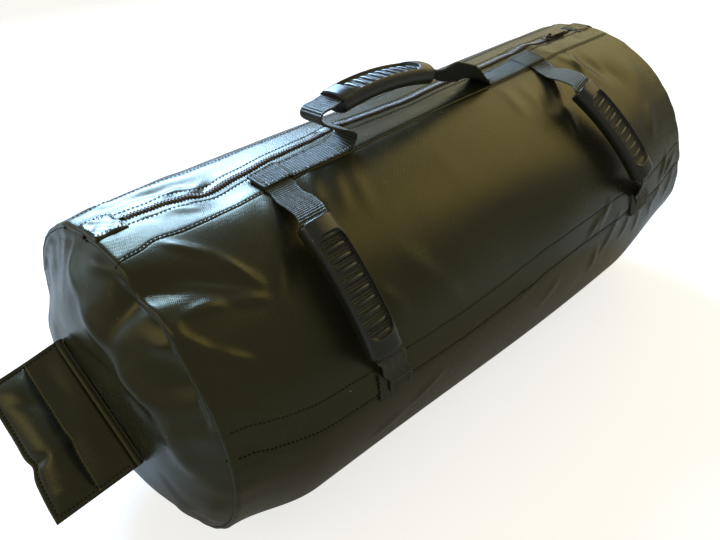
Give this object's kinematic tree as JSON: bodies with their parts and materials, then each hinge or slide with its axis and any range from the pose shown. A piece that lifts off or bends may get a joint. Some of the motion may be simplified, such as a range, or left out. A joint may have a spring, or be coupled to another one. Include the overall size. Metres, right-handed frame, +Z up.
{
  "type": "sandbag trainer",
  "caption": "Filled cylindrical training sandbag with a zipped top, webbing handles with ribbed moulded grips on top and front, and padded grab flaps at the ends.",
  "frame": {"origin": "middle of the flat patch that the filled bag rests on, at floor level", "axes": "+X along the barrel towards the end where the zip slider rests, -Y towards the side with the two front handles, +Z up through the zip"},
  "size_m": [0.7824, 0.2999, 0.3151],
  "materials": {
    "vinyl": "satin coated fabric with a fine weave showing through",
    "webbing": "ribbed polyester webbing, slight sheen",
    "moulded_grip": "satin moulded rubber",
    "zip_tape": "woven tape",
    "zip_teeth": "satin",
    "zip_metal": "dark plated",
    "foam": "open foam",
    "filler_cloth": "plain woven",
    "sand": "dry sand"
  },
  "bodies": {
    "bag": {"front_flange": "vinyl", "back_flange": "vinyl", "front_panel": "vinyl", "back_panel": "vinyl", "bottom_panel": "vinyl", "zip_tape_front": "zip_tape", "zip_tape_back": "zip_tape", "zip_teeth_front": "zip_teeth", "zip_teeth_back": "zip_teeth", "left_end_cap": "vinyl", "zip_end_tab_left": "vinyl", "left_flap_root": "vinyl", "left_filler_bag": "filler_cloth", "left_sand": "sand", "left_filler_neck": "filler_cloth", "right_end_cap": "vinyl", "zip_end_tab_right": "vinyl", "right_flap_root": "vinyl", "right_filler_bag": "filler_cloth", "right_sand": "sand", "right_filler_neck": "filler_cloth", "top_strap_left": "webbing", "top_strap_right": "webbing", "left_strap_top": "webbing", "left_strap_base": "webbing", "left_strap_tail": "webbing", "right_strap_top": "webbing", "right_strap_base": "webbing", "right_strap_tail": "webbing"},
    "slider": {"zip_slider": "zip_metal"},
    "pull_tab": {"zip_pull_tab": "zip_metal"},
    "top_handle": {"top_strap_loop": "webbing", "top_grip": "moulded_grip"},
    "left_handle": {"left_strap_loop": "webbing", "left_grip": "moulded_grip"},
    "right_handle": {"right_strap_loop": "webbing", "right_grip": "moulded_grip"},
    "left_flap": {"left_flap_upper_sheet": "vinyl", "left_flap_lower_sheet": "vinyl", "left_flap_core": "foam"},
    "right_flap": {"right_flap_upper_sheet": "vinyl", "right_flap_lower_sheet": "vinyl", "right_flap_core": "foam"}
  },
  "joints": [
    {"name": "zip_slide", "type": "slide", "parent": "bag", "child": "slider", "axis": [1, 0, 0], "range_m": [-0.49, 0.02]},
    {"name": "pull_tab_hinge", "type": "hinge", "parent": "slider", "child": "pull_tab", "pos_m": [0.232, 0, 0.2722], "axis": [0, 1, 0], "range_deg": [-170, 0]},
    {"name": "top_handle_hinge", "type": "hinge", "parent": "bag", "child": "top_handle", "pos_m": [-0.08928, -0.02259, 0.28113], "axis": [1, 0, 0], "range_deg": [-52, 64]},
    {"name": "left_handle_hinge", "type": "hinge", "parent": "bag", "child": "left_handle", "pos_m": [-0.17251, -0.0686, 0.2651], "axis": [0.0522, -0.6103, -0.7904], "range_deg": [-60, 20]},
    {"name": "right_handle_hinge", "type": "hinge", "parent": "bag", "child": "right_handle", "pos_m": [0.15599, -0.06951, 0.26464], "axis": [0.2471, -0.5922, -0.767], "range_deg": [-60, 20]},
    {"name": "left_flap_hinge", "type": "hinge", "parent": "bag", "child": "left_flap", "pos_m": [-0.3299, 0, 0.13949], "axis": [0, -0.8572, -0.515], "range_deg": [-95, 60]},
    {"name": "right_flap_hinge", "type": "hinge", "parent": "bag", "child": "right_flap", "pos_m": [0.3299, 0, 0.13949], "axis": [0, -0.8572, -0.515], "range_deg": [-60, 95]}
  ]
}
